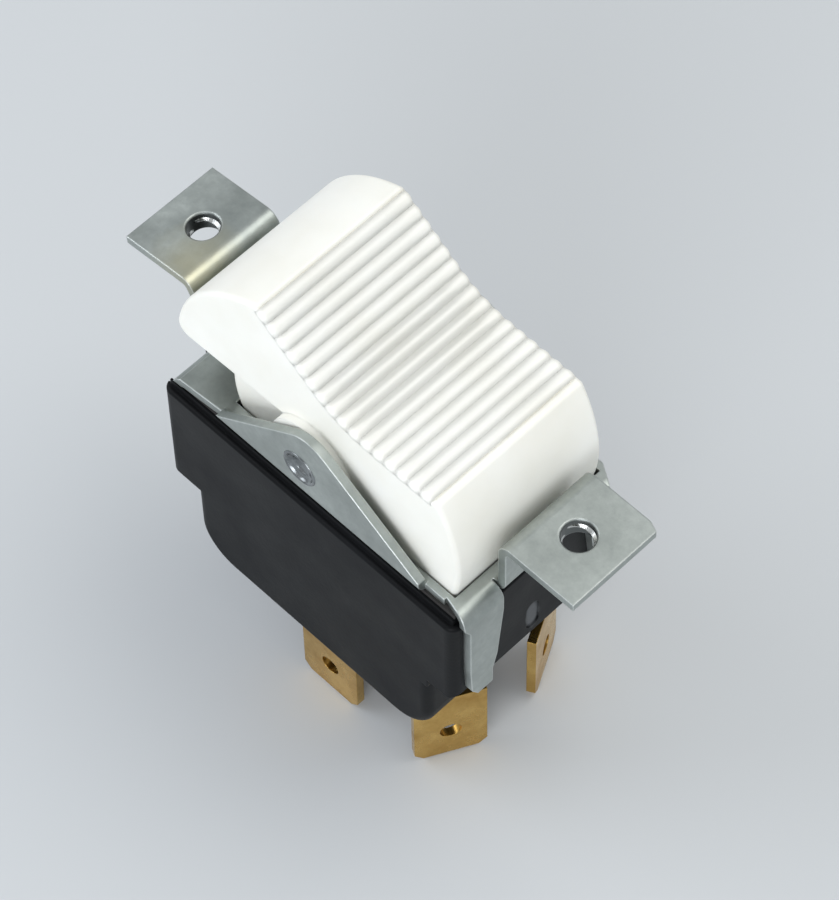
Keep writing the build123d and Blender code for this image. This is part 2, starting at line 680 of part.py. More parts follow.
# Plungers, their springs and the contact works, one set on each side
for side in (-1, 1):
    name = side_names[side]
    bore_plane = Plane(origin=(0, side * pole, pivot_z), x_dir=(0, 1, 0), z_dir=plunger_dir)
    tip_r = plunger_d / 2

    with BuildPart() as plunger:
        with BuildSketch(bore_plane.offset(plunger_top)):
            Circle(tip_r)
        extrude(amount=plunger_reach - tip_r - plunger_top)
        with Locations(Location(bore_plane.origin + plunger_dir * (plunger_reach - tip_r))):
            Sphere(tip_r)
        with BuildSketch(bore_plane.offset(plunger_top)):
            Circle(plunger_bore / 2)
        extrude(amount=plunger_bore_end - plunger_top, mode=Mode.SUBTRACT)
    plunger.part.label = f"{name}_plunger"
    export_step(plunger.part, f"parts/{name}_plunger.step")

    spring_len = plunger_bore_end - bore_top - 2 * bore_play
    with BuildPart() as spring:
        with BuildLine():
            coil = Helix(
                pitch=(spring_len - spring_wire) / spring_turns,
                height=spring_len - spring_wire,
                radius=(spring_d - spring_wire) / 2,
                center=bore_plane.origin + plunger_dir * (bore_top + bore_play + spring_wire / 2),
                direction=plunger_dir,
            )
        with BuildSketch(Plane(origin=coil @ 0, z_dir=coil % 0)):
            RegularPolygon(spring_wire / 2, 6)
        sweep(is_frenet=True)
    spring.part.label = f"{name}_plunger_spring"
    export_step(spring.part, f"parts/{name}_plunger_spring.step")

    side_arm = Plane(origin=(0, side * pole, ridge_z), x_dir=arm_plane.x_dir, z_dir=(0, -1, 0))
    with BuildPart() as arm:
        with BuildSketch(side_arm):
            with BuildLine():
                Polyline(
                    (-arm_reach, arm_top - arm_t),
                    (-arm_reach, arm_top),
                    (arm_reach, arm_top),
                    (arm_reach, arm_top - arm_t),
                    (dish_half + 0.3, arm_top - arm_t),
                    (1.6, 0.15),
                    (-1.6, 0.15),
                    (-dish_half - 0.3, arm_top - arm_t),
                    close=True,
                )
            make_face()
            with Locations((0, dish_low + dish_r)):
                Circle(dish_r, mode=Mode.SUBTRACT)
            Circle(ridge_r + ridge_play, mode=Mode.SUBTRACT)
            Rectangle(2 * (ridge_r + ridge_play), 0.4, mode=Mode.SUBTRACT)
        extrude(amount=arm_w / 2, both=True)
        with BuildSketch(Plane(origin=side_arm.from_local_coords((contact_x, arm_top, 0)), x_dir=side_arm.x_dir, z_dir=side_arm.y_dir)):
            Circle(shank_d / 2)
        extrude(amount=-2 * arm_t, mode=Mode.SUBTRACT)
    arm.part.label = f"{name}_contact_arm"
    export_step(arm.part, f"parts/{name}_contact_arm.step")

    button_plane = Plane(
        origin=side_arm.from_local_coords((contact_x, arm_top - arm_t, 0)),
        x_dir=side_arm.x_dir,
        z_dir=-side_arm.y_dir,
    )
    with BuildPart() as moving_contact:
        with BuildSketch(button_plane):
            Circle(contact_d / 2)
        extrude(amount=contact_h)
        with BuildSketch(button_plane):
            Circle(shank_d / 2)
        extrude(amount=-arm_t)
        with BuildSketch(button_plane.offset(-arm_t)):
            Circle(shank_d / 2 + 0.3)
        extrude(amount=-0.25)
    moving_contact.part.label = f"{name}_moving_contact"
    export_step(moving_contact.part, f"parts/{name}_moving_contact.step")

    # fixed contact: the dome just meets the moving contact when the arm is over
    closed = radians(throw - arm_tilt)
    face_up = arm_top - arm_t - contact_h
    meet_x = contact_x * cos(closed) + face_up * sin(closed)
    meet_z = ridge_z + face_up * cos(closed) - contact_x * sin(closed)
    dome_r = 3.0
    dome_z = meet_z - (dome_r + make_gap) / cos(closed)
    with BuildPart() as fixed_contact:
        with Locations((meet_x, side * pole, dome_z)):
            Sphere(dome_r)
        with BuildSketch(Plane.XY.offset(foot_top)):
            with Locations((meet_x, side * pole)):
                Circle(contact_d / 2)
        extrude(amount=dome_r, mode=Mode.INTERSECT)
        with BuildSketch(Plane.XY.offset(floor_top)):
            with Locations((meet_x, side * pole)):
                Circle(shank_d / 2)
        extrude(amount=sheet)
    fixed_contact.part.label = f"{name}_fixed_contact"
    export_step(fixed_contact.part, f"parts/{name}_fixed_contact.step")

    # common terminal: blade, neck through the floor, foot and the ridge that carries the arm
    common_plane = Plane(origin=(common_x, side * common_y, 0), x_dir=(1, 0, 0), z_dir=(0, -1, 0))
    with BuildPart() as common_terminal:
        with BuildSketch(common_plane) as blade_face:
            with Locations((0, base_low / 2)):
                Rectangle(blade_w, base_low)
            chamfer(blade_face.vertices().group_by(Axis.Y)[0], length=blade_corner)
            with Locations((0, (base_low + foot_top) / 2)):
                Rectangle(neck_w, foot_top - base_low)
            with Locations((0, blade_hole_up)):
                Circle(blade_hole_d / 2, mode=Mode.SUBTRACT)
        extrude(amount=blade_t / 2, both=True)
        chamfer(
            common_terminal.edges().filter_by(Axis.X).group_by(Axis.Z)[0], length=0.25
        )
        with BuildSketch(Plane.XY.offset(floor_top)):
            foot_out = common_y + blade_t / 2
            with Locations((common_x - neck_w / 2 + 1.4, side * (foot_edge + foot_out) / 2)):
                Rectangle(4.4, foot_out - foot_edge)
            with Locations((common_rivet[0] / 2 - 0.6, side * common_rivet[1])):
                Rectangle(-common_rivet[0] + 2.2, 3.8)
            with Locations((common_rivet[0], side * common_rivet[1])):
                Circle(rivet_d / 2, mode=Mode.SUBTRACT)
        extrude(amount=sheet)
        with BuildSketch(Plane.XZ.offset(-side * pole)):
            with Locations((0, (floor_top + ridge_z) / 2)):
                Rectangle(2 * ridge_r, ridge_z - floor_top)
            with Locations((0, ridge_z)):
                Circle(ridge_r)
        extrude(amount=arm_w / 2 - 0.2, both=True)
    common_terminal.part.label = f"{name}_common_terminal"
    export_step(common_terminal.part, f"parts/{name}_common_terminal.step")

    # line terminal: blade set askew, neck and a foot that carries the fixed contact
    turn = radians(line_turn)
    line_dir = Vector(cos(turn), -side * sin(turn), 0)
    line_plane = Plane(
        origin=(line_x, side * line_y, 0), x_dir=line_dir, z_dir=line_dir.cross(Vector(0, 0, 1))
    )
    neck_mid = Vector(line_x, side * line_y, 0) + line_dir * line_neck
    with BuildPart() as line_terminal:
        with BuildSketch(line_plane) as blade_face:
            with Locations((0, base_low / 2)):
                Rectangle(blade_w, base_low)
            chamfer(blade_face.vertices().group_by(Axis.Y)[0], length=blade_corner)
            with Locations((line_neck, (base_low + foot_top) / 2)):
                Rectangle(neck_w, foot_top - base_low)
            with Locations((0, blade_hole_up)):
                Circle(blade_hole_d / 2, mode=Mode.SUBTRACT)
        extrude(amount=blade_t / 2, both=True)
        chamfer(line_terminal.edges().filter_by(
            lambda e: abs(e.center().Z) < 0.01 and e.length > 3
        ), length=0.25)
        with BuildSketch(Plane.XY.offset(floor_top)):
            with Locations(Location((neck_mid.X, neck_mid.Y, 0), (0, 0, -side * line_turn))):
                Rectangle(neck_w, blade_t)
            make_hull()
            with BuildLine():
                Polyline(
                    (meet_x - 1.5, side * foot_edge),
                    (meet_x - 1.5, side * (pole + 1.5)),
                    (neck_mid.X - 0.9, side * (abs(neck_mid.Y) + 1.25)),
                    (neck_mid.X + 0.9, side * (abs(neck_mid.Y) - 1.0)),
                    (line_rivet[0] + 1.6, side * foot_edge),
                    (line_rivet[0] + 0.9, side * (line_rivet[1] - 1.5)),
                    (line_rivet[0] - 0.9, side * (line_rivet[1] - 1.5)),
                    close=True,
                )
            make_face()
            with Locations((line_rivet[0], side * line_rivet[1])):
                Circle(rivet_d / 2, mode=Mode.SUBTRACT)
            with Locations((meet_x, side * pole)):
                Circle(shank_d / 2, mode=Mode.SUBTRACT)
        extrude(amount=sheet)
    line_terminal.part.label = f"{name}_line_terminal"
    export_step(line_terminal.part, f"parts/{name}_line_terminal.step")

    # rivets that hold the feet down on the floor
    for rivet_name, (rivet_x, rivet_y) in (("common", common_rivet), ("line", line_rivet)):
        with BuildPart() as rivet:
            with BuildSketch(Plane.XY.offset(base_low)):
                with Locations((rivet_x, side * rivet_y)):
                    Circle(rivet_d / 2)
            extrude(amount=foot_top - base_low)
            with BuildSketch(Plane.XY.offset(foot_top)):
                with Locations((rivet_x, side * rivet_y)):
                    Circle(rivet_head / 2)
            extrude(amount=rivet_head_t)
            with BuildSketch(Plane.XY.offset(base_low)):
                with Locations((rivet_x, side * rivet_y)):
                    Circle(rivet_head / 2)
            extrude(amount=-rivet_head_t)
        rivet.part.label = f"{name}_{rivet_name}_rivet"
        export_step(rivet.part, f"parts/{name}_{rivet_name}_rivet.step")
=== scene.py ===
import json
import math

import bmesh
import bpy
from mathutils import Matrix, Vector


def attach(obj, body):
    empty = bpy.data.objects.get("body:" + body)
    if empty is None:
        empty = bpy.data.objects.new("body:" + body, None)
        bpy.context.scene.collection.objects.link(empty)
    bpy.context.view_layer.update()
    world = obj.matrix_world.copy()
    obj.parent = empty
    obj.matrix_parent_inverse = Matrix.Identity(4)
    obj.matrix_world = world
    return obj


bl_info = {
    "name": "Bracket Rocker Switch",
    "version": (1, 0, 0),
    "blender": (4, 5, 0),
    "location": "View3D > Sidebar > Switch",
    "description": "Finishes a bracket-mounted rocker switch and sets its stage",
    "category": "Object",
}

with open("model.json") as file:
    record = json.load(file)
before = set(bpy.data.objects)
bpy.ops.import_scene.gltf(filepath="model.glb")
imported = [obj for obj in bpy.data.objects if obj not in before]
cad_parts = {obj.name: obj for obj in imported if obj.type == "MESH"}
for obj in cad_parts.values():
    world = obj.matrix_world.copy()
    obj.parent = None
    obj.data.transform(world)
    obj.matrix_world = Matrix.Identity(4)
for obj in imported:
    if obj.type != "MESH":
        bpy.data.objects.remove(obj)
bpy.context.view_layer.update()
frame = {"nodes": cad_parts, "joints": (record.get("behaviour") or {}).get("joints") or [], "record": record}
NODES = frame["nodes"]
JOINTS = {joint["name"]: joint for joint in frame["joints"]}
MOUNTS = {mount["name"]: mount for mount in frame["record"]["mounts"]}
PIVOT = Vector(JOINTS["rocker_hinge"]["pos_m"])
MM = 0.001
# the side of the object that a piece is on, and the sign of Y there
SIDES = (("near", -1), ("far", 1))
TAPPED_HOLES = ("level_ear_thread", "bent_ear_thread")
# sides of a round mesh, and of one turn of a thread
TURN_STEPS = 48

# oval gate mark on the housing's right end: its middle, and how far it reaches each way, in mm
GATE_MARK = (16.8, -0.8, 22.6)
GATE_HALF = (1.2, 0.75, 1.8)
# yellow patch on the bent ear: its middle, in mm
YELLOW_PATCH = (-18.6, -3.2, 38.0)

# pivot cheeks: outer face from the middle of the switch, and the pressed bowl in it, in mm
CHEEK_FACE = 9.55
BOWL_RADIUS = 1.45
BOWL_DEPTH = 0.72
BOWL_BACK = 0.76
BOWL_STEPS = 24
# the punch left three fine rings in the bowl
RING_HEIGHT = 0.035
RING_COUNT = 3
# rim round the bowl, as radius and height above the cheek
BOWL_RIM = ((1.5, 0.07), (1.58, 0.1), (1.7, 0.07), (1.78, -0.02))

# thread: half of a turn's foot and of its crest, as shares of the pitch
THREAD_FOOT = 0.36
THREAD_CREST = 0.05
# turns left out at the ends of the bore, and steps over which a thread runs out
THREAD_ENDS = 0.9
THREAD_RUNOUT = 10
# how far a thread's foot is sunk into the wall of the bore, in mm
THREAD_SUNK = 0.03

# the rocker's own frame: x along it, z up out of it, from the pivot, in mm
ROCKER_TILT = math.radians(19.3)
ROCKER_HALF = 7.88
VALLEY_UP = 8.4
VALLEY_ROUND = 9.0
TOP_SLOPE = math.radians(18.6)
EDGE_ROUND = 0.4
GROOVE_PITCH = 1.28 * math.cos(TOP_SLOPE)
GROOVE_COUNT = 17
GROOVE_SHIFT = -0.2
# rows of points across the top, by their distance from a side edge, and round that edge
TOP_ROWS = (2.2, 1.7, 1.2, 0.8)
EDGE_STEPS = 7
# a rib is lowest over the middle of the top and rises to its full height over this width at a side edge
RIB_MIDDLE_SHARE = 0.22
RIB_RISE_WIDTH = 2.0
RIB_STEPS = 10
RIB_SUNK = 0.06

# camera fitted to the photograph: angles in degrees, focal length and frame height in pixels, place in metres
CAMERA_ANGLES = (46.124, 57.945, -1.442)
CAMERA_FOCAL = 4111.69
FRAME_HEIGHT = 900
SENSOR = 36.0
CAMERA_BACK = 0.319363
CAMERA_RIGHT = 0.002588
CAMERA_UP = -0.005794
CAMERA_AIM = Vector((0, 0, 0.0384))
LAMP_AIM = Vector((0, 0, 0.025))
FLOOR_HALF = 3.0
# lamps: name, place in metres, side in metres, power for each watt of the key light, colour
LAMPS = (
    ("key_softbox", (0.10, 0.16, 0.42), 0.30, 1.75, "#FFFDF8"),
    ("side_softbox", (-0.30, -0.22, 0.26), 0.30, 1.8, "#F4F8FF"),
    ("front_fill", (0.20, -0.34, 0.20), 0.25, 2.2, "#F7FAFF"),
)


def srgb(hex_code):
    """Linear red, green, blue and alpha of an sRGB hex colour."""
    digits = hex_code.lstrip("#")
    channels = [int(digits[i : i + 2], 16) / 255 for i in (0, 2, 4)]
    return tuple(c / 12.92 if c <= 0.04045 else ((c + 0.055) / 1.055) ** 2.4 for c in channels) + (1.0,)


def add_node(tree, kind, links=(), **settings):
    """Add one shader node. A setting is an attribute, or a socket by its name; a link is (socket, output)."""
    node = tree.nodes.new(kind)
    for key, value in settings.items():
        if hasattr(node, key):
            setattr(node, key, value)
    for key, value in settings.items():
        if not hasattr(node, key):
            node.inputs[key.replace("_", " ")].default_value = value
    for socket, output in links:
        tree.links.new(output, node.inputs[socket])
    return node


def new_material(name):
    """An empty material and its node tree."""
    material = bpy.data.materials.new(name)
    material.use_nodes = True
    tree = material.node_tree
    tree.nodes.clear()
    return material, tree


def finish_tree(tree, shader):
    """Connect the shader to the surface."""
    output = tree.nodes.new("ShaderNodeOutputMaterial")
    tree.links.new(shader.outputs[0], output.inputs["Surface"])


def place_mm(tree):
    """Object position in millimetres."""
    position = add_node(tree, "ShaderNodeTexCoord")
    return add_node(
        tree,
        "ShaderNodeMapping",
        links=[("Vector", position.outputs["Object"])],
        Scale=(1 / MM, 1 / MM, 1 / MM),
    ).outputs[0]


def zinc_plated_steel():
    """Cold-rolled steel sheet, barrel plated in zinc: dull silver grey with a faint spangle, darker scuffs,
    a yellow trace of passivate on the bent ear, a painted highlight along the rounded edges, painted shade in the
    thread roots of the tapped bores, and burnished metal where the pivots were pressed."""
    material, tree = new_material("zinc_plated_steel_rolled")
    where = place_mm(tree)
    # handling marks about 5 mm across, spangle about 0.8 mm
    cloud = add_node(tree, "ShaderNodeTexNoise", links=[("Vector", where)], Scale=1 / 5.0, Detail=5.0, Roughness=0.6)
    fleck = add_node(tree, "ShaderNodeTexNoise", links=[("Vector", where)], Scale=1 / 0.8, Detail=3.0, Roughness=0.7)
    tone = add_node(tree, "ShaderNodeValToRGB", links=[("Fac", cloud.outputs[0])])
    tone.color_ramp.elements[0].position = 0.3
    tone.color_ramp.elements[0].color = srgb("#999F9B")
    tone.color_ramp.elements[1].position = 0.72
    tone.color_ramp.elements[1].color = srgb("#BCC2BE")
    speck = add_node(
        tree,
        "ShaderNodeMapRange",
        links=[("Value", fleck.outputs[0])],
        From_Min=0.35,
        From_Max=0.7,
        To_Min=0.0,
        To_Max=0.35,
    )
    scuffed = add_node(tree, "ShaderNodeMix", data_type="RGBA", links=[(0, speck.outputs[0]), (6, tone.outputs[0])])
    scuffed.inputs[7].default_value = srgb("#8B918F")
    # yellow passivate stays in a patch on the bent ear, fading over about 5 mm
    patch_at = add_node(tree, "ShaderNodeVectorMath", operation="DISTANCE", links=[(0, where)])
    patch_at.inputs[1].default_value = YELLOW_PATCH
    patch_noise = add_node(
        tree, "ShaderNodeMath", operation="MULTIPLY_ADD", links=[(0, cloud.outputs[0]), (2, patch_at.outputs["Value"])]
    )
    patch_noise.inputs[1].default_value = 6.0
    patch = add_node(
        tree,
        "ShaderNodeMapRange",
        links=[("Value", patch_noise.outputs[0])],
        From_Min=3.5,
        From_Max=7.5,
        To_Min=0.5,
        To_Max=0.0,
    )
    tinted = add_node(tree, "ShaderNodeMix", data_type="RGBA", links=[(0, patch.outputs[0]), (6, scuffed.outputs[2])])
    tinted.inputs[7].default_value = srgb("#C9C29C")
    # the strip's edges are rounded by 0.2 mm, and painted lighter there: a painted highlight along each edge
    edge = add_node(tree, "ShaderNodeBevel", samples=6, Radius=0.2 * MM).outputs[0]
    geometry = add_node(tree, "ShaderNodeNewGeometry")
    turn = add_node(
        tree, "ShaderNodeVectorMath", operation="DOT_PRODUCT", links=[(0, edge), (1, geometry.outputs["Normal"])]
    )
    edge_highlight = add_node(
        tree,
        "ShaderNodeMapRange",
        links=[("Value", turn.outputs["Value"])],
        From_Min=0.97,
        From_Max=0.8,
        To_Min=0.0,
        To_Max=0.75,
    )
    # painted highlight: the rounded edge bands are mixed towards a pale grey
    highlit_edges = add_node(tree, "ShaderNodeMix", data_type="RGBA", links=[(0, edge_highlight.outputs[0]), (6, tinted.outputs[2])])
    highlit_edges.inputs[7].default_value = srgb("#E6EAE7")
    # painted shade: the tapped bores are darkened between the bright turns of the thread
    metal = highlit_edges.outputs[2]
    for name in TAPPED_HOLES:
        mount = MOUNTS[name]
        arm = add_node(tree, "ShaderNodeVectorMath", operation="SUBTRACT", links=[(0, where)])
        arm.inputs[1].default_value = Vector(mount["pos_m"]) / MM
        lever = add_node(tree, "ShaderNodeVectorMath", operation="CROSS_PRODUCT", links=[(0, arm.outputs[0])])
        lever.inputs[1].default_value = Vector(mount["axis"]).normalized()
        off_axis = add_node(tree, "ShaderNodeVectorMath", operation="LENGTH", links=[(0, lever.outputs[0])])
        # the painted shade stops just outside the bore's 1.4 mm radius, so the countersink above it stays unshaded
        root_shade = add_node(
            tree,
            "ShaderNodeMapRange",
            links=[("Value", off_axis.outputs["Value"])],
            From_Min=1.42,
            From_Max=1.5,
            To_Min=0.8,
            To_Max=0.0,
        )
        # painted shade: the bore wall is darkened inside the thread roots
        root_shaded = add_node(tree, "ShaderNodeMix", data_type="RGBA", links=[(0, root_shade.outputs[0]), (6, metal)])
        root_shaded.inputs[7].default_value = srgb("#3E4142")
        metal = root_shaded.outputs[2]
    # burnished ring where each pivot was pressed in
    mirror_side = add_node(tree, "ShaderNodeVectorMath", operation="ABSOLUTE", links=[(0, where)])
    pivot_at = add_node(tree, "ShaderNodeVectorMath", operation="DISTANCE", links=[(0, mirror_side.outputs[0])])
    pivot_at.inputs[1].default_value = (0.0, 9.4, PIVOT.z / MM)
    burnish = add_node(
        tree,
        "ShaderNodeMapRange",
        links=[("Value", pivot_at.outputs["Value"])],
        From_Min=1.3,
        From_Max=2.1,
        To_Min=1.0,
        To_Max=0.0,
    )
    dull = add_node(
        tree,
        "ShaderNodeMapRange",
        links=[("Value", cloud.outputs[0])],
        From_Min=0.3,
        From_Max=0.7,
        To_Min=0.34,
        To_Max=0.5,
    )
    gloss = add_node(tree, "ShaderNodeMix", data_type="FLOAT", links=[(0, burnish.outputs[0]), (2, dull.outputs[0])])
    gloss.inputs[3].default_value = 0.16
    grain = add_node(
        tree,
        "ShaderNodeBump",
        links=[("Height", fleck.outputs[0]), ("Normal", edge)],
        Strength=0.12,
        Distance=0.0001,
    )
    shader = add_node(
        tree,
        "ShaderNodeBsdfPrincipled",
        links=[
            ("Base Color", metal),
            ("Roughness", gloss.outputs[0]),
            ("Normal", grain.outputs[0]),
        ],
        Metallic=0.95,
    )
    finish_tree(tree, shader)
    return material


def moulded_phenolic():
    """Black phenolic, compression moulded: near black with a weak wide sheen and a very fine pebble."""
    material, tree = new_material("black_phenolic_moulded")
    where = place_mm(tree)
    # flow marks about 6 mm across, pebble 0.35 mm
    flow = add_node(tree, "ShaderNodeTexNoise", links=[("Vector", where)], Scale=1 / 6.0, Detail=4.0)
    pebble = add_node(tree, "ShaderNodeTexNoise", links=[("Vector", where)], Scale=1 / 0.35, Detail=2.0)
    tone = add_node(tree, "ShaderNodeValToRGB", links=[("Fac", flow.outputs[0])])
    tone.color_ramp.elements[0].position = 0.3
    tone.color_ramp.elements[0].color = srgb("#0C0D0E")
    tone.color_ramp.elements[1].position = 0.75
    tone.color_ramp.elements[1].color = srgb("#141517")
    # the gate was broken off in the oval mark on the right end, which left a dry grey skin there
    gate = add_node(tree, "ShaderNodeVectorMath", operation="SUBTRACT", links=[(0, where)])
    gate.inputs[1].default_value = GATE_MARK
    oval = add_node(tree, "ShaderNodeVectorMath", operation="DIVIDE", links=[(0, gate.outputs[0])])
    oval.inputs[1].default_value = GATE_HALF
    reach = add_node(tree, "ShaderNodeVectorMath", operation="LENGTH", links=[(0, oval.outputs[0])])
    ragged = add_node(
        tree, "ShaderNodeMath", operation="MULTIPLY_ADD", links=[(0, pebble.outputs[0]), (2, reach.outputs["Value"])]
    )
    ragged.inputs[1].default_value = 0.35
    grey = add_node(
        tree,
        "ShaderNodeMapRange",
        links=[("Value", ragged.outputs[0])],
        From_Min=0.95,
        From_Max=1.3,
        To_Min=0.85,
        To_Max=0.0,
    )
    marked = add_node(tree, "ShaderNodeMix", data_type="RGBA", links=[(0, grey.outputs[0]), (6, tone.outputs[0])])
    marked.inputs[7].default_value = srgb("#5C5E60")
    gloss = add_node(
        tree,
        "ShaderNodeMapRange",
        links=[("Value", flow.outputs[0])],
        From_Min=0.3,
        From_Max=0.7,
        To_Min=0.36,
        To_Max=0.5,
    )
    # the mould's edges are rounded by 0.15 mm
    edge = add_node(tree, "ShaderNodeBevel", samples=6, Radius=0.15 * MM).outputs[0]
    bump = add_node(
        tree,
        "ShaderNodeBump",
        links=[("Height", pebble.outputs[0]), ("Normal", edge)],
        Strength=0.1,
        Distance=0.0001,
    )
    shader = add_node(
        tree,
        "ShaderNodeBsdfPrincipled",
        links=[("Base Color", marked.outputs[2]), ("Roughness", gloss.outputs[0]), ("Normal", bump.outputs[0])],
        IOR=1.6,
        Specular_IOR_Level=0.07,
    )
    finish_tree(tree, shader)
    return material


def moulded_nylon(name, light, dark, roughness):
    """Nylon, injection moulded: slightly translucent, satin, a little uneven in tone and gloss."""
    material, tree = new_material(name)
    where = place_mm(tree)
    # uneven tone about 7 mm across, pebble 0.3 mm
    cloud = add_node(tree, "ShaderNodeTexNoise", links=[("Vector", where)], Scale=1 / 7.0, Detail=4.0)
    pebble = add_node(tree, "ShaderNodeTexNoise", links=[("Vector", where)], Scale=1 / 0.3, Detail=2.0)
    tone = add_node(tree, "ShaderNodeValToRGB", links=[("Fac", cloud.outputs[0])])
    tone.color_ramp.elements[0].position = 0.3
    tone.color_ramp.elements[0].color = srgb(dark)
    tone.color_ramp.elements[1].position = 0.7
    tone.color_ramp.elements[1].color = srgb(light)
    gloss = add_node(
        tree,
        "ShaderNodeMapRange",
        links=[("Value", cloud.outputs[0])],
        From_Min=0.3,
        From_Max=0.7,
        To_Min=roughness - 0.05,
        To_Max=roughness + 0.07,
    )
    # nylon shrinks round its edges, to about 0.25 mm
    edge = add_node(tree, "ShaderNodeBevel", samples=6, Radius=0.25 * MM).outputs[0]
    bump = add_node(
        tree,
        "ShaderNodeBump",
        links=[("Height", pebble.outputs[0]), ("Normal", edge)],
        Strength=0.08,
        Distance=0.0001,
    )
    shader = add_node(
        tree,
        "ShaderNodeBsdfPrincipled",
        links=[("Base Color", tone.outputs[0]), ("Roughness", gloss.outputs[0]), ("Normal", bump.outputs[0])],
        IOR=1.53,
        Subsurface_Weight=0.12,
        Subsurface_Radius=(1.0, 0.9, 0.8),
        Subsurface_Scale=0.0008,
    )
    finish_tree(tree, shader)
    return material


def rolled_metal(name, light, dark, roughness, grain_mm=0.25, edge_mm=0.08):
    """Rolled or drawn metal: fine lines along the strip, slightly uneven tarnish."""
    material, tree = new_material(name)
    where = place_mm(tree)
    # rolling lines run along Z, stretched 12 times; tarnish is about 3 mm across
    lines_at = add_node(tree, "ShaderNodeMapping", links=[("Vector", where)], Scale=(1, 1, 1 / 12)).outputs[0]
    cloud = add_node(tree, "ShaderNodeTexNoise", links=[("Vector", where)], Scale=1 / 3.0, Detail=5.0, Roughness=0.65)
    lines = add_node(tree, "ShaderNodeTexNoise", links=[("Vector", lines_at)], Scale=1 / grain_mm, Detail=2.0)
    tone = add_node(tree, "ShaderNodeValToRGB", links=[("Fac", cloud.outputs[0])])
    tone.color_ramp.elements[0].position = 0.32
    tone.color_ramp.elements[0].color = srgb(dark)
    tone.color_ramp.elements[1].position = 0.68
    tone.color_ramp.elements[1].color = srgb(light)
    gloss = add_node(
        tree,
        "ShaderNodeMapRange",
        links=[("Value", cloud.outputs[0])],
        From_Min=0.3,
        From_Max=0.7,
        To_Min=roughness + 0.1,
        To_Max=roughness - 0.05,
    )
    edge = add_node(tree, "ShaderNodeBevel", samples=6, Radius=edge_mm * MM).outputs[0]
    bump = add_node(
        tree,
        "ShaderNodeBump",
        links=[("Height", lines.outputs[0]), ("Normal", edge)],
        Strength=0.12,
        Distance=0.00005,
    )
    shader = add_node(
        tree,
        "ShaderNodeBsdfPrincipled",
        links=[("Base Color", tone.outputs[0]), ("Roughness", gloss.outputs[0]), ("Normal", bump.outputs[0])],
        Metallic=1.0,
    )
    finish_tree(tree, shader)
    return material


def fibre_board():
    """Vulcanised fibre, pressed sheet: very dark brown, dull, faintly mottled."""
    material, tree = new_material("vulcanised_fibre_pressed")
    where = place_mm(tree)
    # matted fibres about 0.6 mm across
    mottle = add_node(tree, "ShaderNodeTexNoise", links=[("Vector", where)], Scale=1 / 0.6, Detail=4.0)
    tone = add_node(tree, "ShaderNodeValToRGB", links=[("Fac", mottle.outputs[0])])
    tone.color_ramp.elements[0].color = srgb("#1A1918")
    tone.color_ramp.elements[1].color = srgb("#2C2927")
    shader = add_node(tree, "ShaderNodeBsdfPrincipled", links=[("Base Color", tone.outputs[0])], Roughness=0.8)
    finish_tree(tree, shader)
    return material


def make_object(name, mesh_bm, material, body, smooth=True):
    """Turn a bmesh into a piece that rides on a body."""
    mesh = bpy.data.meshes.new(name)
    bmesh.ops.recalc_face_normals(mesh_bm, faces=mesh_bm.faces)
    mesh_bm.to_mesh(mesh)
    mesh_bm.free()
    for polygon in mesh.polygons:
        polygon.use_smooth = smooth
    piece = bpy.data.objects.new(name, mesh)
    bpy.context.scene.collection.objects.link(piece)
    piece.data.materials.append(material)
    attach(piece, body)


def dress(names, material):
    """Give CAD nodes their material."""
    for name in names:
        slots = NODES[name].material_slots
        if not slots:
            raise RuntimeError(f"{name} has no material slot")
        for material_slot in slots:
            material_slot.material = material


def rocker_top(x):
    """Height of the rocker's top above the pivot and its lean, at x along the rocker, in mm and radians."""
    if abs(x) < VALLEY_ROUND * math.sin(TOP_SLOPE):
        middle = VALLEY_UP + VALLEY_ROUND / math.cos(TOP_SLOPE)
        return middle - math.sqrt(VALLEY_ROUND**2 - x * x), math.asin(x / VALLEY_ROUND)
    return VALLEY_UP + abs(x) * math.tan(TOP_SLOPE), math.copysign(TOP_SLOPE, x)


def edge_path():
    """Across the rocker: y, drop below the top and how far the surface faces sideways, round both side edges."""
    edge = [(ROCKER_HALF - back, 0.0, 0.0) for back in TOP_ROWS]
    for k in range(EDGE_STEPS + 1):
        turn = math.pi / 2 * k / EDGE_STEPS
        y = ROCKER_HALF - EDGE_ROUND * (1 - math.sin(turn))
        edge.append((y, EDGE_ROUND * (1 - math.cos(turn)), math.sin(turn)))
    # a short way down the side, then into it
    edge.append((ROCKER_HALF, EDGE_ROUND + 0.25, 1.0))
    edge.append((ROCKER_HALF - 0.12, EDGE_ROUND + 0.4, 1.0))
    return [(-y, drop, -side) for y, drop, side in reversed(edge)] + edge


def on_rocker(x, y, up, lean, lift, sideways):
    """World point of a place on the rocker, lifted off its top along the surface and sideways, in mm."""
    along = x - math.sin(lean) * lift
    height = up + math.cos(lean) * lift
    return Vector((
        (along * math.cos(ROCKER_TILT) + height * math.sin(ROCKER_TILT)) * MM,
        (y + sideways) * MM,
        PIVOT.z + (height * math.cos(ROCKER_TILT) - along * math.sin(ROCKER_TILT)) * MM,
    ))


def both(*names):
    """The near and the far node of each name."""
    return [f"{side}_{name}" for side, _ in SIDES for name in names]


class SwitchSizes(bpy.types.PropertyGroup):
    """Sizes of the fine detail"""

    thread_pitch: bpy.props.FloatProperty(
        name="Thread pitch",
        description="Pitch of the tapped holes",
        default=0.79375 * MM,
        subtype="DISTANCE",
        unit="LENGTH",
    )
    thread_depth: bpy.props.FloatProperty(
        name="Thread depth",
        description="How far a thread stands in from the bore",
        default=0.27 * MM,
        subtype="DISTANCE",
        unit="LENGTH",
    )
    rib_height: bpy.props.FloatProperty(
        name="Rib height",
        description="How far each finger rib is crowned at the rocker's side edges",
        default=0.09 * MM,
        subtype="DISTANCE",
        unit="LENGTH",
    )


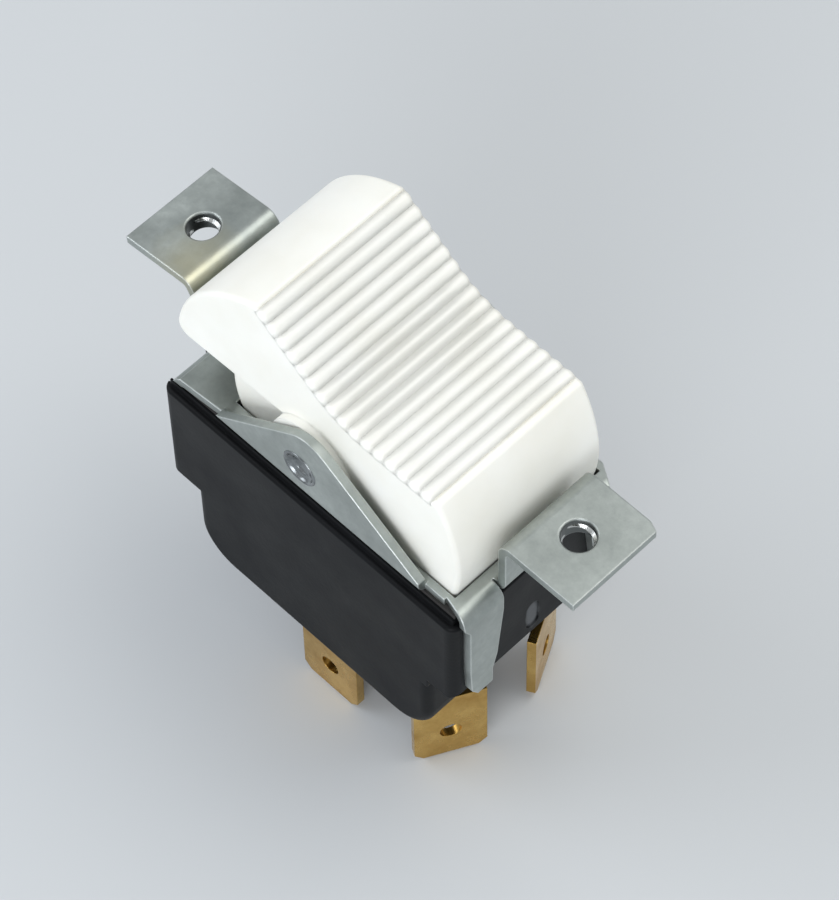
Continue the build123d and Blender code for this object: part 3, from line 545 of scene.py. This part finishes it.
class SwitchStage(bpy.types.PropertyGroup):
    """Colours and light of the stage"""

    floor_colour: bpy.props.FloatVectorProperty(
        name="Floor colour", description="Colour of the floor", subtype="COLOR", size=4, default=srgb("#C4C7C9")
    )
    key_power: bpy.props.FloatProperty(
        name="Key light", description="Power of the large soft light", default=0.4, unit="POWER"
    )


class SWITCH_OT_bracket(bpy.types.Operator):
    """Finish the folded steel bracket"""

    bl_idname = "switch.bracket"
    bl_label = "Bracket"

    def execute(self, context):
        dress(["mounting_bracket"], zinc_plated_steel())
        return {"FINISHED"}


class SWITCH_OT_pivot_dimples(bpy.types.Operator):
    """Press a round bowl with a raised rim into each pivot cheek"""

    bl_idname = "switch.pivot_dimples"
    bl_label = "Pivot dimples"

    def execute(self, context):
        # cold-formed steel, polished by the punch, its colour darkened as painted shade over the bowl and its rim
        material = rolled_metal("carbon_steel_punched", "#A2A6A7", "#4C5052", 0.2, grain_mm=0.12, edge_mm=0.02)
        # radius and height above the cheek's face, from the bottom of the bowl over the rim to its foot
        bowl = []
        for i in range(BOWL_STEPS + 1):
            share = i / BOWL_STEPS
            ripple = RING_HEIGHT * math.sin(2 * RING_COUNT * math.pi * share)
            bowl.append((BOWL_RADIUS * share, -BOWL_DEPTH * (1 - share * share) + ripple))
        for side, sign in SIDES:
            mesh_bm = bmesh.new()
            rings = []
            for radius, height in bowl[1:] + list(BOWL_RIM):
                ring = []
                for i in range(TURN_STEPS):
                    angle = 2 * math.pi * i / TURN_STEPS
                    ring.append(mesh_bm.verts.new(Vector((
                        radius * math.cos(angle) * MM,
                        sign * (CHEEK_FACE + height) * MM,
                        PIVOT.z + radius * math.sin(angle) * MM,
                    ))))
                rings.append(ring)
            bottom = mesh_bm.verts.new(Vector((0, sign * (CHEEK_FACE + bowl[0][1]) * MM, PIVOT.z)))
            back = mesh_bm.verts.new(Vector((0, sign * (CHEEK_FACE - BOWL_BACK) * MM, PIVOT.z)))
            for i in range(TURN_STEPS):
                k = (i + 1) % TURN_STEPS
                mesh_bm.faces.new((bottom, rings[0][i], rings[0][k]))
                for inner, outer in zip(rings, rings[1:]):
                    mesh_bm.faces.new((inner[i], outer[i], outer[k], inner[k]))
                mesh_bm.faces.new((back, rings[-1][k], rings[-1][i]))
            make_object(f"{side}_pivot_dimple", mesh_bm, material, "base")
        return {"FINISHED"}


class SWITCH_OT_ear_threads(bpy.types.Operator):
    """Cut a helical thread into each tapped hole of the ears"""

    bl_idname = "switch.ear_threads"
    bl_label = "Ear threads"

    def execute(self, context):
        sizes = context.scene.switch_sizes
        # bare steel, cut by the tap: brighter than the plating around it
        material = rolled_metal("carbon_steel_tapped", "#DEDFDC", "#A3A5A3", 0.2, grain_mm=0.15, edge_mm=0.05)
        for name in TAPPED_HOLES:
            mount = MOUNTS[name]
            centre = Vector(mount["pos_m"])
            axis = Vector(mount["axis"]).normalized()
            radius = mount["dims"]["r_mm"] * MM
            length = mount["dims"]["length_mm"] * MM
            across = axis.cross(Vector((0, 1, 0))).normalized()
            along = axis.cross(across)
            pitch = sizes.thread_pitch
            half_foot = pitch * THREAD_FOOT
            half_crest = pitch * THREAD_CREST
            steps = int((length / pitch - THREAD_ENDS) * TURN_STEPS)
            mesh_bm = bmesh.new()
            previous = None
            for i in range(steps + 1):
                angle = 2 * math.pi * i / TURN_STEPS
                rise = -length / 2 + half_foot + pitch * i / TURN_STEPS
                depth = sizes.thread_depth * min(1.0, i / THREAD_RUNOUT, (steps - i) / THREAD_RUNOUT)
                radial = across * math.cos(angle) + along * math.sin(angle)
                section = (
                    (-THREAD_SUNK * MM, -half_foot),
                    (depth, -half_crest),
                    (depth, half_crest),
                    (-THREAD_SUNK * MM, half_foot),
                )
                ring = []
                for inward, lift in section:
                    ring.append(mesh_bm.verts.new(centre + radial * (radius - inward) + axis * (rise + lift)))
                if previous:
                    for k in range(len(ring)):
                        n = (k + 1) % len(ring)
                        mesh_bm.faces.new((previous[k], previous[n], ring[n], ring[k]))
                else:
                    mesh_bm.faces.new(ring)
                previous = ring
            mesh_bm.faces.new(reversed(previous))
            make_object(f"{name}_helix", mesh_bm, material, "base", smooth=False)
        return {"FINISHED"}


class SWITCH_OT_housing(bpy.types.Operator):
    """Finish the moulded housing and its insulator"""

    bl_idname = "switch.housing"
    bl_label = "Housing"

    def execute(self, context):
        dress(["housing"], moulded_phenolic())
        dress(["insulator_sheet"], fibre_board())
        return {"FINISHED"}


class SWITCH_OT_rocker(bpy.types.Operator):
    """Finish the moulded rocker and its plungers"""

    bl_idname = "switch.rocker"
    bl_label = "Rocker"

    def execute(self, context):
        # white nylon: warm, satin, soft at its edges
        white = moulded_nylon("white_nylon_moulded", "#F6F5EE", "#EFEDE3", 0.42)
        dress(["rocker"], white)
        self.finger_ribs(context.scene.switch_sizes, white)
        # black nylon: the same satin, near black
        dress(both("plunger"), moulded_nylon("black_nylon_moulded", "#242424", "#191919", 0.5))
        return {"FINISHED"}

    def finger_ribs(self, sizes, white):
        """Crown each rib between two grooves, over the top and round both side edges."""
        rib_height = sizes.rib_height / MM
        mesh_bm = bmesh.new()
        for i in range(GROOVE_COUNT - 1):
            middle = (i + 0.5 - (GROOVE_COUNT - 1) / 2) * GROOVE_PITCH + GROOVE_SHIFT
            # x, and the share of the way from the rib's middle to its foot
            across = [
                (middle + GROOVE_PITCH * (step / RIB_STEPS - 0.5), 2 * step / RIB_STEPS - 1)
                for step in range(RIB_STEPS + 1)
            ]
            previous = None
            for y, drop, side in edge_path():
                ring = []
                near_edge = max(0.0, 1 - (ROCKER_HALF - abs(y)) / RIB_RISE_WIDTH)
                full = rib_height * (RIB_MIDDLE_SHARE + (1 - RIB_MIDDLE_SHARE) * near_edge)
                for x, share in across:
                    up, lean = rocker_top(x)
                    crown = full * math.cos(math.pi / 2 * share) ** 2
                    ring.append(mesh_bm.verts.new(on_rocker(x, y, up, lean, crown - drop, crown * side)))
                for x, _ in (across[-1], across[0]):
                    up, lean = rocker_top(x)
                    sunk = on_rocker(x, y, up, lean, -RIB_SUNK - drop * 0.9, -RIB_SUNK * side)
                    ring.append(mesh_bm.verts.new(sunk))
                if previous:
                    for k in range(len(ring)):
                        n = (k + 1) % len(ring)
                        mesh_bm.faces.new((previous[k], previous[n], ring[n], ring[k]))
                else:
                    mesh_bm.faces.new(ring)
                previous = ring
            mesh_bm.faces.new(reversed(previous))
        make_object("finger_ribs", mesh_bm, white, "rocker")


class SWITCH_OT_terminals(bpy.types.Operator):
    """Finish the brass blades and their rivets"""

    bl_idname = "switch.terminals"
    bl_label = "Terminals"

    def execute(self, context):
        # strip brass, still bright, with a golden sheen
        brass = rolled_metal("brass_rolled", "#D8B366", "#B58E45", 0.26)
        dress(both("common_terminal", "line_terminal", "contact_arm"), brass)
        # plated rivets: a smooth pale sheen
        plated = rolled_metal("nickel_plated_steel_headed", "#C8C8C4", "#9C9C98", 0.3)
        dress(both("common_rivet", "line_rivet"), plated)
        return {"FINISHED"}


class SWITCH_OT_contacts(bpy.types.Operator):
    """Finish the silver contacts and the plunger springs"""

    bl_idname = "switch.contacts"
    bl_label = "Contacts"

    def execute(self, context):
        # headed silver: soft, bright and slightly warm
        silver = rolled_metal("silver_alloy_headed", "#DAD8D0", "#A9A79F", 0.22)
        dress(both("moving_contact", "fixed_contact"), silver)
        # drawn wire: grey with a dull gleam
        wire = rolled_metal("music_wire_drawn", "#B4B5B6", "#7E7F80", 0.3)
        dress(both("plunger_spring"), wire)
        return {"FINISHED"}


class SWITCH_OT_stage(bpy.types.Operator):
    """Make the floor, the lights and the camera"""

    bl_idname = "switch.stage"
    bl_label = "Stage"

    def execute(self, context):
        stage = context.scene.switch_stage
        scene = context.scene
        # matt paint: even and nearly without gloss
        material, tree = new_material("floor_matt_paint")
        lit = add_node(tree, "ShaderNodeBsdfPrincipled", Base_Color=tuple(stage.floor_colour), Roughness=0.55)
        finish_tree(tree, lit)
        floor_bm = bmesh.new()
        bmesh.ops.create_grid(floor_bm, x_segments=2, y_segments=2, size=FLOOR_HALF)
        mesh = bpy.data.meshes.new("floor")
        floor_bm.to_mesh(mesh)
        floor_bm.free()
        floor = bpy.data.objects.new("floor", mesh)
        floor.data.materials.append(material)
        scene.collection.objects.link(floor)

        world = bpy.data.worlds.new("studio")
        scene.world = world
        world.use_nodes = True
        background = world.node_tree.nodes["Background"]
        background.inputs["Color"].default_value = srgb("#E6EAEE")
        background.inputs["Strength"].default_value = 0.74

        for name, place, size, power, colour in LAMPS:
            light = bpy.data.lights.new(name, "AREA")
            light.size = size
            light.energy = power * stage.key_power
            light.color = srgb(colour)[:3]
            lamp = bpy.data.objects.new(name, light)
            lamp.location = place
            lamp.rotation_euler = (LAMP_AIM - Vector(place)).to_track_quat("-Z", "Y").to_euler()
            scene.collection.objects.link(lamp)

        azimuth, elevation, roll = (math.radians(angle) for angle in CAMERA_ANGLES)
        back = Vector(
            (math.sin(azimuth) * math.cos(elevation), -math.cos(azimuth) * math.cos(elevation), math.sin(elevation))
        )
        flat = Vector((math.cos(azimuth), math.sin(azimuth), 0))
        upright = back.cross(flat)
        right = flat * math.cos(roll) + upright * math.sin(roll)
        up = upright * math.cos(roll) - flat * math.sin(roll)
        camera = bpy.data.objects.new("camera", bpy.data.cameras.new("camera"))
        camera.data.sensor_width = SENSOR
        camera.data.lens = CAMERA_FOCAL * SENSOR / FRAME_HEIGHT
        camera.data.clip_start = 0.01
        camera.data.clip_end = 20.0
        spot = back * CAMERA_BACK + right * CAMERA_RIGHT + up * CAMERA_UP + CAMERA_AIM
        camera.matrix_world = Matrix.Translation(spot) @ Matrix((right, up, back)).transposed().to_4x4()
        scene.collection.objects.link(camera)
        scene.camera = camera
        scene.view_settings.view_transform = "Standard"
        return {"FINISHED"}


class SWITCH_PT_panel(bpy.types.Panel):
    """Lists the steps that finish the switch"""

    bl_idname = "SWITCH_PT_panel"
    bl_label = "Rocker switch"
    bl_space_type = "VIEW_3D"
    bl_region_type = "UI"
    bl_category = "Switch"

    def draw(self, context):
        column = self.layout.column()
        for operator in OPERATORS:
            column.operator(operator.bl_idname)
        for group in (context.scene.switch_sizes, context.scene.switch_stage):
            for name in group.__annotations__:
                column.prop(group, name)


OPERATORS = (
    SWITCH_OT_bracket,
    SWITCH_OT_pivot_dimples,
    SWITCH_OT_ear_threads,
    SWITCH_OT_housing,
    SWITCH_OT_rocker,
    SWITCH_OT_terminals,
    SWITCH_OT_contacts,
    SWITCH_OT_stage,
)
CLASSES = (SwitchSizes, SwitchStage) + OPERATORS + (SWITCH_PT_panel,)


def register():
    for cls in CLASSES:
        bpy.utils.register_class(cls)
    bpy.types.Scene.switch_sizes = bpy.props.PointerProperty(type=SwitchSizes)
    bpy.types.Scene.switch_stage = bpy.props.PointerProperty(type=SwitchStage)


def unregister():
    del bpy.types.Scene.switch_stage
    del bpy.types.Scene.switch_sizes
    for cls in reversed(CLASSES):
        bpy.utils.unregister_class(cls)


def main():
    """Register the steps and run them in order."""
    register()
    bpy.ops.switch.bracket()
    bpy.ops.switch.pivot_dimples()
    bpy.ops.switch.ear_threads()
    bpy.ops.switch.housing()
    bpy.ops.switch.rocker()
    bpy.ops.switch.terminals()
    bpy.ops.switch.contacts()
    bpy.ops.switch.stage()


if __name__ == "__main__":
    main()
